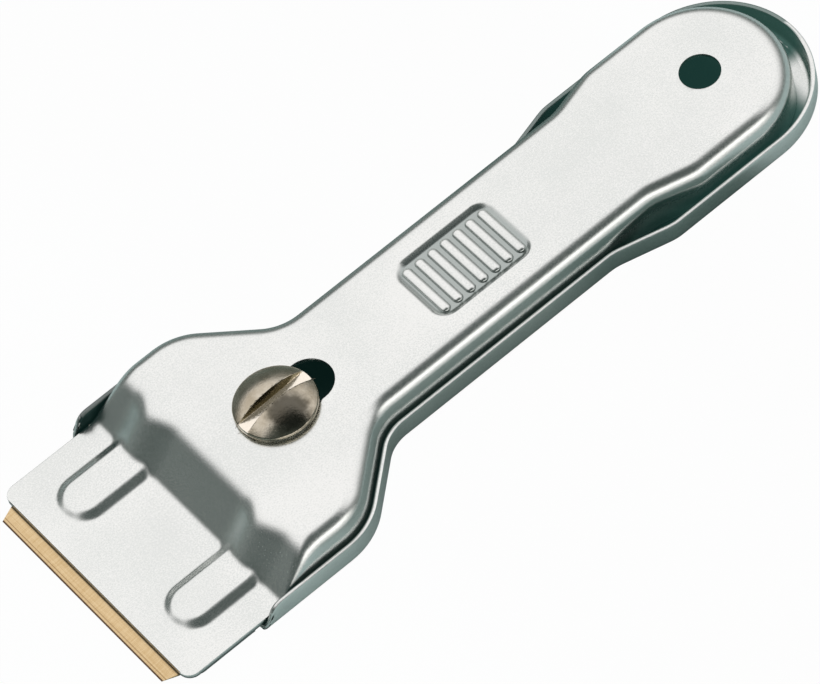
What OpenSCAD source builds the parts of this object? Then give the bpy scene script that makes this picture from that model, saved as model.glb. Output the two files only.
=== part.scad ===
// Hob scraper: a blade on a pressed tray, under a pressed cover that slides over the edge to guard it.
// X runs along the tool from the blade (-X) to the handle (+X), Z is up.
// The origin is the middle of the tray's hanging hole, on the surface that the tool lies on.
// The model is drawn with the blade out, which is the cover's rear stop.

/* [Sheet metal] */
// Thickness of the tray's and the cover's sheet
sheet_t = 0.8; // [0.6:0.05:1]
// Gap all round between the cover's rim and the tray's wall
rim_gap = 0.3; // [0.2:0.05:0.5]
// Height of the tray's wall
tray_h = 4.5; // [3.8:0.1:6]
// Outer radius of the fold between the tray's floor and its wall
tray_fold_r = 1.8; // [1.4:0.1:3]
// Height of the cover's top above the ground
cover_h = 9; // [8:0.25:12]
// Outer radius of the cover's rolled edge
cover_fold_r = 2.9; // [1.4:0.1:3.4]
// Gap between the cover's rim and the tray's floor
floor_gap = 0.35; // [0.2:0.05:0.6]

/* [Outline] */
// From the tray's hanging hole to the cutting edge
edge_reach = 112; // [105:0.5:125]
// Width of the cover's head and lip
head_w = 44; // [42:0.5:48]
// Width of the cover at the grip
grip_w = 22.6; // [19:0.2:26]
// Width of the cover at its rear end
cover_end_w = 26.9; // [25:0.1:28]
// Width of the tray at its rear end, outside
tray_end_w = 30.2; // [29:0.1:34]
// From the lip's front edge to the shoulders
shoulder_x = 29; // [27:0.5:34]
// Radius of each shoulder's round corner
shoulder_r = 10.5; // [8:0.5:12]
// Radius where a shoulder runs into the grip
neck_r = 7.5; // [5:0.5:10]
// Slope of the shoulders
shoulder_angle = 42; // [35:1:55]
// Straight length of the cover's grip
cover_grip = 47.3; // [40:0.1:50]
// Straight length of the tray's grip
tray_grip = 38.4; // [32:0.1:42]
// Radius of the bends where the grip widens to the rear end
flare_r = 8; // [5:0.5:14]
// Slope where the grip widens to the rear end
flare_angle = 16; // [12:1:24]
// From the tray's hanging hole to the tray's rear end
tray_rear = 22.6; // [21:0.1:26]
// From the cover's hanging hole to the cover's rear end
cover_rear = 12.9; // [11:0.1:15]

/* [Lip and step] */
// Length of the flat lip, from its front edge to the foot of the step
lip_len = 16.9; // [15:0.1:18]
// Radius of the lip's front corners
lip_corner_r = 2; // [1:0.25:4]
// Slope of the step between the lip and the cover's top
step_angle = 45; // [40:1:55]
// Radius of the step's two bends, at the middle of the sheet
step_bend_r = 2.2; // [2:0.1:3]
// Width of each stiffening rib on the lip and the step
rib_w = 9.2; // [7:0.2:11]
// Height of the ribs above the lip
rib_h = 1.3; // [0.8:0.1:1.6]
// From the middle of the tool to the middle of each rib
rib_y = 12.7; // [10:0.1:14]
// From the lip's front edge to the ribs
rib_setback = 3.7; // [2:0.1:6]

/* [Blade] */
// Width of the blade
blade_w = 40; // [38:0.5:41]
// Depth of the blade, from its edge to its back
blade_depth = 19; // [17:0.5:19.5]
// Thickness of the blade
blade_t = 0.3; // [0.2:0.05:0.5]
// How far the edge stands out of the lip
blade_out = 2.5; // [1.5:0.1:3]
// Depth of the ground bevel
bevel_depth = 2; // [1:0.1:2.5]
// Thickness left at the cutting edge
edge_t = 0.03; // [0.02:0.01:0.06]
// Width cut off each end of the cutting edge
clip_w = 1.2; // [0.5:0.1:2]
// Depth of those cut corners
clip_depth = 3; // [2:0.1:4]
// Diameter of the two locating holes
blade_hole_d = 3.6; // [3:0.1:4.5]
// From the cutting edge to the locating holes
blade_hole_x = 12; // [11:0.25:14]
// Clearance of each locating pip in its hole, all round
pip_clear = 0.15; // [0.1:0.05:0.4]
// Height of the pips above the tray
pip_h = 0.9; // [0.6:0.1:1.1]
// Radius of the pips' rounded edge
pip_round = 0.6; // [0.2:0.1:0.8]
// Gap between the blade and the lip above it
lip_gap = 0.05; // [0.02:0.01:0.1]

/* [Tongue and wall ends] */
// Width of the tongue under the blade
tongue_w = 43.1; // [41:0.1:44]
// Radius of the tongue's front corners
tongue_corner_r = 2.5; // [1:0.25:4]
// How far the tongue stays behind the lip's front edge
tongue_back = 0.7; // [0.3:0.1:2]
// From the lip's front edge to the front ends of the tray's wall
wall_start = 13; // [12:0.25:16]
// Slope of those ends
wall_slope = 62; // [50:1:80]
// Radius of the upper corner at each wall end
wall_corner_r = 2.6; // [1.5:0.1:3.6]
// Length of the relief notch between the tongue and each wall end
notch_len = 0.8; // [0.5:0.1:2]

/* [Clamp] */
// From the cutting edge to the clamp screw
screw_x = 38; // [36:0.1:41]
// Travel of the cover
travel = 5.9; // [4:0.1:7]
// Width of the cover's slot
slot_w = 7.6; // [7:0.1:8.4]
// Diameter of the screw's thread
thread_d = 5; // [4:0.5:6]
// Running clearance of the thread in the nut, all round
thread_clear = 0.05; // [0.02:0.01:0.1]
// Diameter of the screw's head
head_d = 12.6; // [11:0.2:14]
// Height of the screw's head at its middle
head_h = 2.6; // [2:0.1:3.4]
// Height of the straight rim round the screw's head
head_rim = 0.5; // [0.3:0.1:1]
// Width of the coin slot
coin_w = 2; // [1.2:0.1:2.4]
// Depth of the coin slot at the middle
coin_deep = 2; // [1:0.1:2.2]
// Turn of the coin slot from the tool's length
coin_turn = 2; // [0:1:90]
// Diameter of the washer
washer_d = 11.6; // [10:0.2:14]
// Thickness of the washer
washer_t = 0.5; // [0.4:0.1:1]
// Width of the nut across its flats
nut_w = 9; // [8:0.5:11]
// Height of the nut's hexagon above the tray's floor
nut_h = 4.2; // [3:0.1:5]
// Diameter of the collar on the nut, which guides the cover's slot
collar_d = 7.2; // [6.5:0.1:8]
// How far the collar stays below the cover's top
collar_inset = 0.1; // [0.05:0.05:0.3]
// Diameter of the nut's spigot in the floor
spigot_d = 7; // [6.4:0.1:8]
// How far the spigot stays above the ground
spigot_inset = 0.1; // [0:0.05:0.3]

/* [Holes and thumb grip] */
// Diameter of the hanging holes
hang_d = 6.2; // [5:0.1:8]
// From the cutting edge to the middle of the thumb grip
grip_x = 72.8; // [70:0.2:76]
// Length of the thumb grip
pad_len = 18.6; // [15:0.2:22]
// Width of the thumb grip
pad_w = 13; // [10:0.5:14]
// Depth of the thumb grip's recess
pad_deep = 0.45; // [0.3:0.05:0.6]
// Radius of the recess's corners
pad_corner_r = 3; // [2:0.25:5]
// Number of bars across the thumb grip
pad_bars = 7; // [5:1:8]
// Width of each bar at its foot
bar_w = 1.5; // [1:0.1:1.7]
// Space between the bars' ends and the recess's edge
bar_end_gap = 1.1; // [0.6:0.1:2]

/* [Hidden] */
$fn = 96;
zinc = [0.74, 0.76, 0.76];
nickel = [0.60, 0.57, 0.49];
blade_steel = [0.80, 0.66, 0.44];
// How far a cutter runs past a face, and how far a shape runs into the one that it joins
past = 1;
// Turn of one facet round an outline, and number of facets across a fold
facet_turn = 7;
fold_facets = 7;

// Places along the tool
edge_x = -edge_reach;
lip_x = edge_x + blade_out;
shoulder_start = lip_x + shoulder_x;
screw_at = edge_x + screw_x;
cover_hole_x = travel;

// Levels
blade_z = sheet_t;
cover_rim = sheet_t + floor_gap;
lip_z = blade_z + blade_t + lip_gap;
top_under = cover_h - sheet_t;

// Outlines of the two shells, from the left front end round the rear to the right front end.
// A step is [length] for a straight run, or [radius, turn] for an arc; a turn to the left is positive.
wall_out = rim_gap + sheet_t;
shoulder_rise = (head_w - grip_w) / 2;
shoulder_len = (shoulder_rise - (shoulder_r + neck_r) * (1 - cos(shoulder_angle))) / sin(shoulder_angle);
grip_start = shoulder_start + (shoulder_r + neck_r) * sin(shoulder_angle) + shoulder_len * cos(shoulder_angle);
function flare_len(rise) = (rise - 2 * flare_r * (1 - cos(flare_angle))) / sin(flare_angle);
function flare_run(rise) = 2 * flare_r * sin(flare_angle) + flare_len(rise) * cos(flare_angle);
function shoulder(out) = [
    [shoulder_r + out, -shoulder_angle],
    [shoulder_len],
    [neck_r - out, shoulder_angle]
];
function flare(rise) = [
    [flare_r, flare_angle],
    [flare_len(rise)],
    [flare_r, -flare_angle]
];
function back(path) = [for (i = [len(path) - 1 : -1 : 0]) path[i]];
function round_trip(half, end_r) = concat(half, [[end_r, -180]], back(half));

cover_start = [lip_x + lip_len, head_w / 2, 0];
cover_rise = (cover_end_w - grip_w) / 2;
cover_end_x = cover_hole_x + cover_rear - cover_end_w / 2;
cover_end_run = cover_end_x - grip_start - cover_grip - flare_run(cover_rise);
cover_path = round_trip(
    concat([[shoulder_start - cover_start.x]], shoulder(0), [[cover_grip]], flare(cover_rise), [[cover_end_run]]),
    cover_end_w / 2
);
tray_start = [lip_x + wall_start, head_w / 2 + wall_out, 0];
tray_rise = (tray_end_w - grip_w) / 2 - wall_out;
tray_end_x = tray_rear - tray_end_w / 2;
tray_end_run = tray_end_x - grip_start - tray_grip - flare_run(tray_rise);
tray_path = round_trip(
    concat([[shoulder_start - tray_start.x]], shoulder(wall_out), [[tray_grip]], flare(tray_rise), [[tray_end_run]]),
    tray_end_w / 2
);

// The step's path in the XZ plane, along the middle of the sheet
step_rise = top_under - lip_z;
bend_reach = step_bend_r * tan(step_angle / 2);
step_start = [lip_x, lip_z + sheet_t / 2, 0];
step_path = [
    [lip_len - bend_reach],
    [step_bend_r, step_angle],
    [step_rise / sin(step_angle) - 2 * bend_reach],
    [step_bend_r, -step_angle],
    [past + cover_fold_r]
];
step_foot = [lip_x + lip_len, step_start.y];
// Radius of the ribs' round upper side, and its axis from the middle of the sheet
rib_r = (rib_w * rib_w / 4 + rib_h * rib_h) / (2 * rib_h);
rib_axis = sheet_t / 2 + rib_h - rib_r;

// Moves a pose [x, y, heading] along one step of a path
function along(pose, s) = len(s) == 1
    ? [pose.x + s[0] * cos(pose.z), pose.y + s[0] * sin(pose.z), pose.z]
    : let (
        side = sign(s[1]),
        heading = pose.z + s[1],
        cx = pose.x - side * s[0] * sin(pose.z),
        cy = pose.y + side * s[0] * cos(pose.z)
    ) [cx + side * s[0] * sin(heading), cy - side * s[0] * cos(heading), heading];
function pose_at(start, path, i) = i == 0 ? start : along(pose_at(start, path, i - 1), path[i - 1]);
// Poses along a path, with several on each arc: an odd number of facets, so that none ends on the tool's middle
function facets(turn) = 2 * round(abs(turn) / facet_turn / 2) + 1;
function arc_poses(p, s, n) = [for (k = [0 : n - 1]) along(p, [s[0], s[1] * k / n])];
function poses(start, path) = [
    for (i = [0 : len(path) - 1])
        let (p = pose_at(start, path, i), s = path[i])
            each (len(s) == 1 ? [p] : arc_poses(p, s, facets(s[1]))),
    pose_at(start, path, len(path))
];
// The outline that lies a distance inside a path
function inside(start, path, d) = [for (p = poses(start, path)) [p.x + d * sin(p.z), p.y - d * cos(p.z)]];

// Section of a folded edge as [distance inside the outline, height], from the wall's free end to the flat
function folded(free_z, flat_z, r) = [
    [0, free_z],
    for (k = [0 : fold_facets])
        let (a = 90 * k / fold_facets)
            [r - r * cos(a), flat_z + sign(free_z - flat_z) * (r - r * sin(a))]
];

// Solid lofted from an outline along a section, flat at the front and closed by flats at both ends.
// Each point of the outline has its mirror image, so that the flats are made of strips across the tool.
module pressed(start, path, section) {
    rings = [for (p = section) inside(start, path, p.x)];
    n = len(rings[0]);
    m = len(section);
    down = section[m - 1].y < section[0].y;
    function id(v, i) = v * n + i;
    function turned(face) = down ? face : [for (k = [len(face) - 1 : -1 : 0]) face[k]];
    points = [for (v = [0 : m - 1]) for (p = rings[v]) [p.x, p.y, section[v].y]];
    walls = [
        for (v = [0 : m - 2]) for (i = [0 : n - 2])
            each [[id(v, i), id(v + 1, i), id(v + 1, i + 1)], [id(v, i), id(v + 1, i + 1), id(v, i + 1)]]
    ];
    front = [for (v = [0 : m - 2]) [id(v, 0), id(v, n - 1), id(v + 1, n - 1), id(v + 1, 0)]];
    first = [for (i = [0 : n / 2 - 2]) [id(0, i), id(0, i + 1), id(0, n - 2 - i), id(0, n - 1 - i)]];
    last = [for (i = [0 : n / 2 - 2]) [id(m - 1, n - 1 - i), id(m - 1, n - 2 - i), id(m - 1, i + 1), id(m - 1, i)]];
    polyhedron(points, [for (face = concat(walls, front, first, last)) turned(face)]);
}

// Pressed shell of one sheet: the lofted solid less the one that lies a sheet further in.
// The hollow runs out past the shell's front and past its open side.
module shell(start, path, free_z, flat_z, r) {
    side = sign(free_z - flat_z);
    open_start = [start.x - past, start.y - sheet_t, 0];
    inner = concat([[path[0][0] + past]], [for (i = [1 : len(path) - 1]) one_sheet_in(path[i])]);
    difference() {
        pressed(start, path, folded(free_z, flat_z, r));
        pressed(open_start, inner, folded(free_z + side * past, flat_z + side * sheet_t, r - sheet_t));
    }
}
function one_sheet_in(s) = len(s) == 1 ? s : [s[0] + sign(s[1]) * sheet_t, s[1]];

// A shape in the XZ plane, drawn out across the tool between two widths
module across(y0, y1) {
    translate([0, y1, 0]) rotate([90, 0, 0]) linear_extrude(y1 - y0) children();
}

module both_sides() {
    children();
    mirror([0, 1, 0]) children();
}

module slab(x0, x1, w, z0, z1) {
    translate([x0, -w / 2, z0]) cube([x1 - x0, w, z1 - z0]);
}

module rounded_slab(x0, x1, w, z0, z1, r) {
    slab(x0 + r, x1 - r, w, z0, z1);
    slab(x0, x1, w - 2 * r, z0, z1);
    for (x = [x0 + r, x1 - r], y = [r - w / 2, w / 2 - r])
        translate([x, y, z0]) cylinder(r = r, h = z1 - z0);
}

// Pressed tray: floor, wall, tongue with the two pips that hold the blade
module base_tray() {
    color(zinc) difference() {
        union() {
            difference() {
                shell(tray_start, tray_path, tray_h, 0, tray_fold_r);
                both_sides() wall_end_cut();
            }
            tongue();
        }
        translate([0, 0, -past]) cylinder(d = hang_d, h = sheet_t + 2 * past);
        translate([screw_at, 0, -past]) cylinder(d = spigot_d, h = sheet_t + 2 * past);
    }
}

// Cuts the front end of the tray's wall to its slope and rounds its upper corner
module wall_end_cut() {
    r = wall_corner_r;
    centre = [(r + (tray_h - r) * cos(wall_slope)) / sin(wall_slope), tray_h - r];
    across(head_w / 2 + wall_out - tray_fold_r, head_w / 2 + wall_out + past)
        translate([tray_start.x, 0]) difference() {
            polygon([
                [-past, -past],
                [-past / tan(wall_slope), -past],
                centre + r * [-sin(wall_slope), cos(wall_slope)],
                [centre.x, tray_h],
                [centre.x, tray_h + past],
                [-past, tray_h + past]
            ]);
            translate(centre) circle(r);
        }
}

module tongue() {
    tongue_x = lip_x + tongue_back;
    floor_w = head_w + 2 * (wall_out - tray_fold_r);
    difference() {
        union() {
            slab(tongue_x, tray_start.x - notch_len, tongue_w, 0, sheet_t);
            slab(tongue_x, tray_start.x + past, floor_w, 0, sheet_t);
        }
        front_corners(tongue_x, tongue_w, tongue_corner_r, 0);
    }
    both_sides() translate([edge_x + blade_hole_x, rib_y, sheet_t]) pip();
}

// Cutters that round the two front corners of a flat sheet
module front_corners(x, w, r, z) {
    both_sides() translate([x, w / 2, z - past]) difference() {
        translate([-past, -r, 0]) cube([past + r, r + past, sheet_t + 2 * past]);
        translate([r, -r, -past]) cylinder(r = r, h = sheet_t + 4 * past);
    }
}

// Pressed pip with a rounded edge
module pip() {
    r = blade_hole_d / 2 - pip_clear;
    rotate_extrude() intersection() {
        union() {
            square([r, pip_h - pip_round]);
            translate([0, pip_h - pip_round]) square([r - pip_round, pip_round]);
            translate([r - pip_round, pip_h - pip_round]) circle(pip_round);
        }
        square([r, pip_h]);
    }
}

// Ground blade with clipped corners, held by two holes over the pips
module blade() {
    mid = blade_t / 2;
    color(blade_steel) translate([edge_x, 0, blade_z]) difference() {
        across(-blade_w / 2, blade_w / 2) polygon([
            [0, mid - edge_t / 2],
            [bevel_depth, 0],
            [blade_depth, 0],
            [blade_depth, blade_t],
            [bevel_depth, blade_t],
            [0, mid + edge_t / 2]
        ]);
        both_sides() translate([0, blade_w / 2, -past]) linear_extrude(blade_t + 2 * past)
            polygon([[-past, past], [-past, -clip_w * (1 + past / clip_depth)], [clip_depth, 0], [clip_depth, past]]);
        both_sides() translate([blade_hole_x, rib_y, -past]) cylinder(d = blade_hole_d, h = blade_t + 2 * past);
    }
}

// Hexagon nut, clinched into the tray's floor by its spigot, with a collar up through the cover's slot
module clamp_nut() {
    collar_top = cover_h - collar_inset;
    color(zinc) translate([screw_at, 0, 0]) difference() {
        union() {
            translate([0, 0, sheet_t]) cylinder(d = nut_w / cos(30), h = nut_h, $fn = 6);
            translate([0, 0, spigot_inset]) cylinder(d = spigot_d, h = sheet_t - spigot_inset + nut_h / 2);
            translate([0, 0, sheet_t + nut_h / 2]) cylinder(d = collar_d, h = collar_top - sheet_t - nut_h / 2);
        }
        translate([0, 0, -past]) cylinder(d = thread_d + 2 * thread_clear, h = collar_top + 2 * past);
    }
}

// Pressed cover: rolled edge, flat top, step down to the lip, stiffening ribs, slot and hanging hole
module top_cover() {
    color(zinc) difference() {
        union() {
            difference() {
                shell(cover_start, cover_path, cover_rim, cover_h, cover_fold_r);
                above_step(-head_w, head_w);
            }
            lip_and_step();
            intersection() {
                both_sides() rib(rib_r);
                above_step(-head_w / 2, head_w / 2);
                slab(lip_x, shoulder_start, head_w, lip_z, cover_h);
            }
            translate([edge_x + grip_x, 0, 0]) thumb_pad(sheet_t, top_under - pad_deep, top_under);
        }
        intersection() {
            both_sides() rib(rib_r - sheet_t);
            slab(lip_x, shoulder_start, head_w, 0, top_under);
        }
        translate([0, 0, cover_h - sheet_t - past]) slot(sheet_t + 2 * past);
        translate([cover_hole_x, 0, top_under - past]) cylinder(d = hang_d, h = sheet_t + 2 * past);
        thumb_grip();
    }
}

// Everything in front of and above the middle of the lip's and the step's sheet, between two widths
module above_step(y0, y1) {
    reach = step_rise + 2 * sheet_t;
    run = reach / tan(step_angle);
    across(y0, y1) translate(step_foot)
        polygon([[-lip_len - past, 0], [0, 0], [run, reach], [-lip_len - past, reach]]);
}

// Lip and step as one bent strip, with the cover's rolled edge at its top and the lip's front corners rounded
module lip_and_step() {
    above = inside(step_start, step_path, -sheet_t / 2);
    below = inside(step_start, step_path, sheet_t / 2);
    front = lip_x - past;
    difference() {
        intersection() {
            across(-head_w, head_w) polygon(concat(above, back(below)));
            pressed(
                [front, cover_start.y, 0],
                concat([[shoulder_start - front]], [for (i = [1 : len(cover_path) - 1]) cover_path[i]]),
                folded(cover_rim, cover_h, cover_fold_r)
            );
        }
        front_corners(lip_x, head_w, lip_corner_r, lip_z);
    }
}

// Round bar whose upper side is one rib's surface: a round end, then along the lip and up the step
module rib(r) {
    run = lip_len - rib_setback - rib_w / 2;
    rise = step_rise / sin(step_angle);
    translate([step_foot.x, rib_y, step_foot.y]) {
        translate([-run, 0, rib_axis]) sphere(r);
        translate([-run, 0, rib_axis]) rotate([0, 90, 0]) cylinder(r = r, h = run + rise);
        rotate([0, -step_angle, 0]) translate([-run, 0, rib_axis])
            rotate([0, 90, 0]) cylinder(r = r, h = run + 2 * rise);
    }
}

// The slot that the clamp screw stands in, as long as the cover's travel
module slot(h) {
    for (x = [screw_at, screw_at + travel])
        translate([x, 0, 0]) cylinder(d = slot_w, h = h);
    slab(screw_at, screw_at + travel, slot_w, 0, h);
}

// The thumb grip's outline, grown by a margin
module thumb_pad(margin, z0, z1) {
    half = pad_len / 2 + margin;
    rounded_slab(-half, half, pad_w + 2 * margin, z0, z1, pad_corner_r);
}

// Recess of the thumb grip, with its bars left standing
module thumb_grip() {
    bar_pitch = (pad_len - bar_w) / pad_bars;
    bar_r = (bar_w * bar_w / 4 + pad_deep * pad_deep) / (2 * pad_deep);
    translate([edge_x + grip_x, 0, 0]) difference() {
        thumb_pad(0, cover_h - pad_deep, cover_h + past);
        for (i = [0 : pad_bars - 1])
            translate([(i - (pad_bars - 1) / 2) * bar_pitch, 0, cover_h - bar_r])
                rotate([90, 0, 0]) cylinder(r = bar_r, h = pad_w - 2 * bar_end_gap, center = true);
    }
}

module clamp_washer() {
    color(zinc) translate([screw_at, 0, cover_h]) difference() {
        cylinder(d = washer_d, h = washer_t);
        translate([0, 0, -past]) cylinder(d = thread_d + 2 * thread_clear, h = washer_t + 2 * past);
    }
}

// Coin-slotted screw with a domed head
module clamp_screw() {
    seat = cover_h + washer_t;
    crown = head_h - head_rim;
    dome_r = (head_d * head_d / 4 + crown * crown) / (2 * crown);
    color(nickel) translate([screw_at, 0, 0]) difference() {
        union() {
            translate([0, 0, seat]) rotate_extrude() {
                square([head_d / 2, head_rim]);
                intersection() {
                    translate([0, head_h - dome_r]) circle(dome_r);
                    translate([0, head_rim]) square([head_d / 2, crown]);
                }
            }
            translate([0, 0, sheet_t]) cylinder(d = thread_d, h = seat - sheet_t + head_rim / 2);
        }
        translate([0, 0, seat + head_h - coin_deep]) rotate(coin_turn)
            translate([-head_d, -coin_w / 2, 0]) cube([2 * head_d, coin_w, coin_deep + past]);
    }
}

base_tray();
blade();
clamp_nut();
top_cover();
clamp_washer();
clamp_screw();
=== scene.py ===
from math import acos, cos, hypot, pi, radians, sin, sqrt, tan

import bpy
import bmesh
import numpy as np
from mathutils import Matrix, Vector


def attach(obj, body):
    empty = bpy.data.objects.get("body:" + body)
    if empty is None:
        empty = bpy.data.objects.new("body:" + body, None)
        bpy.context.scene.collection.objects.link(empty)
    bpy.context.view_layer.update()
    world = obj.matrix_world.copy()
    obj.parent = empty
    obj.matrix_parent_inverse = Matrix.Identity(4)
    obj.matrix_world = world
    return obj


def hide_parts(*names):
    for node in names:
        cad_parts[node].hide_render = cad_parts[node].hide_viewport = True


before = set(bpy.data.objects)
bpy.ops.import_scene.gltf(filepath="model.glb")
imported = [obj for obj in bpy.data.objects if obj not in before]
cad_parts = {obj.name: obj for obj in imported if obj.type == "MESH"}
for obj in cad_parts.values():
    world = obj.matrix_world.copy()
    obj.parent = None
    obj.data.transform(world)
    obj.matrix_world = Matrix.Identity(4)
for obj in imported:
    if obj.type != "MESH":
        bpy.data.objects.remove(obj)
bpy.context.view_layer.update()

mm = 0.001
print("frame loaded:", len(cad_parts), "nodes")


# Shader maths: a socket that takes part in Python expressions
class Sig:
    def __init__(self, tree, socket):
        self.tree, self.socket = tree, socket

    def maths(self, operation, a, b=0.0):
        return self.tree.add("ShaderNodeMath", {"operation": operation}, [a, b])

    def __add__(self, other):
        return self.maths("ADD", self, other)

    def __sub__(self, other):
        return self.maths("SUBTRACT", self, other)

    def __mul__(self, other):
        return self.maths("MULTIPLY", self, other)

    def __truediv__(self, other):
        return self.maths("DIVIDE", self, other)

    def __rsub__(self, other):
        return self.maths("SUBTRACT", other, self)

    __radd__ = __add__
    __rmul__ = __mul__


class Tree:
    def __init__(self, owner):
        if not isinstance(owner, bpy.types.NodeTree):
            owner.use_nodes = True
            owner = owner.node_tree
        self.nodes, self.links = owner.nodes, owner.links
        self.nodes.clear()

    def add(self, kind, settings=None, values=None, out=0):
        node = self.nodes.new(kind)
        for key, value in (settings or {}).items():
            setattr(node, key, value)
        pairs = values.items() if isinstance(values, dict) else enumerate(values or [])
        for key, value in pairs:
            if isinstance(value, Sig):
                self.links.new(value.socket, node.inputs[key])
            else:
                node.inputs[key].default_value = value
        return Sig(self, node.outputs[out]) if node.outputs else node

    def smooth(self, value, low, high):   # 0 at low and 1 at high, also where low is the larger
        settings = {"interpolation_type": "SMOOTHSTEP", "clamp": True}
        return self.add("ShaderNodeMapRange", settings, {0: value, 1: low, 2: high, 3: 0.0, 4: 1.0})

    def absolute(self, value):
        return self.add("ShaderNodeMath", {"operation": "ABSOLUTE"}, [value])

    def mixColour(self, mask, a, b):
        settings = {"data_type": "RGBA", "blend_type": "MIX"}
        return self.add("ShaderNodeMix", settings, {0: mask, 6: a, 7: b}, out=2)

    def noise(self, place, scale, detail, rough):
        values = {"Vector": place, "Scale": scale, "Detail": detail, "Roughness": rough}
        return self.add("ShaderNodeTexNoise", None, values)

    def parts(self, vector):   # x, y and z of a vector
        node = self.add("ShaderNodeSeparateXYZ", None, {0: vector}).socket.node
        return [Sig(self, node.outputs[i]) for i in range(3)]


def rgb(r, g, b):   # the linear colour of an 8-bit colour as seen on a screen
    def channel(v):
        v = v / 255
        return v / 12.92 if v <= 0.04045 else ((v + 0.055) / 1.055) ** 2.4
    return (channel(r), channel(g), channel(b), 1)


# The pieces' sizes are in millimetres, and x runs from the blade to the rear end
places = {
    "edge": -112.0,
    "blade_out": 2.5,
    "screw": 38.0,
    "travel": 5.9,
    "grip": 72.8,
}
edgeX = places["edge"]
lipX = edgeX + places["blade_out"]
screwX = edgeX + places["screw"]
gripX = edgeX + places["grip"]

# How fine the sheets' meshes are: points across the sheet, its fold and its wall, runs between two
# rows, and degrees between two rows in a turn
meshing = {
    "cover_across": 123,
    "tray_across": 101,
    "fold": 10,
    "wall": 3,
    "head": 0.28,
    "grip": 0.24,
    "tongue": 0.25,
    "wall_start": 0.15,
    "plain": 1.6,
    "turn": 3.0,
}


# A pose is x, y and heading. A step is a run, or an arc's radius and its turn to the left in degrees.
def along(pose, step, share=1.0):
    x, y, heading = pose
    if len(step) == 1:
        run = step[0] * share
        return (x + run * cos(heading), y + run * sin(heading), heading)
    radius, turn = step[0], radians(step[1]) * share
    side = 1 if turn > 0 else -1
    cx, cy = x - side * radius * sin(heading), y + side * radius * cos(heading)
    heading += turn
    return (cx + side * radius * sin(heading), cy - side * radius * cos(heading), heading)


def walk(start, steps, spacing):
    poses, pose = [start], start
    for step in steps:
        if len(step) == 1:
            done = 0.0
            while done < step[0] - 1e-6:
                gap = spacing(along(pose, step, done / step[0])[0])
                done = min(done + gap, step[0])
                if step[0] - done < gap / 2:
                    done = step[0]
                poses.append(along(pose, step, done / step[0]))
        else:
            count = max(3, round(abs(step[1]) / meshing["turn"]))
            poses += [along(pose, step, (i + 1) / count) for i in range(count)]
        pose = along(pose, step)
    return poses


def smoothMin(a, b, soft):
    h = np.clip(0.5 + 0.5 * (b - a) / soft, 0, 1)
    return b * (1 - h) + a * h - soft * h * (1 - h)


def smoothMax(a, b, soft):
    return -smoothMin(-a, -b, soft)


def ease(v):
    v = np.clip(v, 0, 1)
    return v * v * (3 - 2 * v)


cover = {
    "sheet": 0.8,
    "top": 9.0,
    "lip_top": 1.95,
    "rim": 1.15,
    "fold": 2.9,
    "head": 44.0,
    "grip": 22.6,
    "end": 26.9,
    "rear": 12.9,
    "lip_corner": 2.0,
    "shoulder": 29.0,
    "shoulder_r": 10.5,
    "neck_r": 7.5,
    "shoulder_turn": 42.0,
    "grip_run": 47.3,
    "flare_r": 8.0,
    "flare_turn": 16.0,
    "foot": 16.9,
    "slope": 45.0,
    "foot_soft": 0.9,
    "crest_soft": 2.0,
    "slot": 7.6,
    "hole": 6.2,
    "edge_round": 0.1,
    "level_from": 34.0,     # behind the lip's front, the top is level from here on
    "fold_share": 0.42,     # of the rise, where the step is lower than the whole fold
}
rib = {"width": 9.2, "height": 0.95, "crown": 0.95, "y": 12.7, "setback": 3.7, "side": 2.1,
       "crown_reach": 5.6}
thumb = {"length": 18.6, "width": 13.0, "corner": 3.0, "deep": 0.6, "soft": 1.3,
         "bars": 7, "bar": 1.7, "bar_end": 1.4, "bar_high": 0.52, "spare": 0.4}


# Height of the cover's outer face: lip, step with its ribs, top with the thumb grip pressed in
def coverHeight(x, y):
    c = cover
    slope = radians(c["slope"])
    rise = c["lip_top"] + (x - lipX - c["foot"]) * tan(slope)
    frontX = lipX + rib["setback"] + rib["width"] / 2
    reach = np.hypot(np.minimum(x - frontX, 0), np.abs(y) - rib["y"])
    bump = rib["height"] * ease((rib["width"] / 2 - reach) / rib["side"])
    crown = rib["crown"] * (0.5 + 0.5 * np.cos(np.clip(reach / rib["crown_reach"], 0, 1) * pi))
    face = smoothMax(c["lip_top"] + bump, rise + crown / cos(slope), c["foot_soft"])
    z = smoothMin(face, np.full_like(face, c["top"]), c["crest_soft"])
    z = np.where(x > lipX + c["level_from"], c["top"], z)
    dx = np.abs(x - gripX) - thumb["length"] / 2 + thumb["corner"]
    dy = np.abs(y) - thumb["width"] / 2 + thumb["corner"]
    outside = np.hypot(np.maximum(dx, 0), np.maximum(dy, 0)) + np.minimum(np.maximum(dx, dy), 0)
    return z - thumb["deep"] * ease(-(outside - thumb["corner"]) / thumb["soft"])


# Half an outline's steps from the shoulders to the flare behind the grip, for a sheet further out
def halfOutline(out, gripRun, endWidth):
    c = cover
    turn, flareTurn = c["shoulder_turn"], c["flare_turn"]
    bends = c["shoulder_r"] + c["neck_r"]
    lean = ((c["head"] - c["grip"]) / 2 - bends * (1 - cos(radians(turn)))) / sin(radians(turn))
    rise = (endWidth - c["grip"]) / 2 - out
    flareLean = (rise - 2 * c["flare_r"] * (1 - cos(radians(flareTurn)))) / sin(radians(flareTurn))
    return [
        [c["shoulder_r"] + out, -turn],
        [lean],
        [c["neck_r"] - out, turn],
        [gripRun],
        [c["flare_r"], flareTurn],
        [flareLean],
        [c["flare_r"], -flareTurn],
    ]


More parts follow.
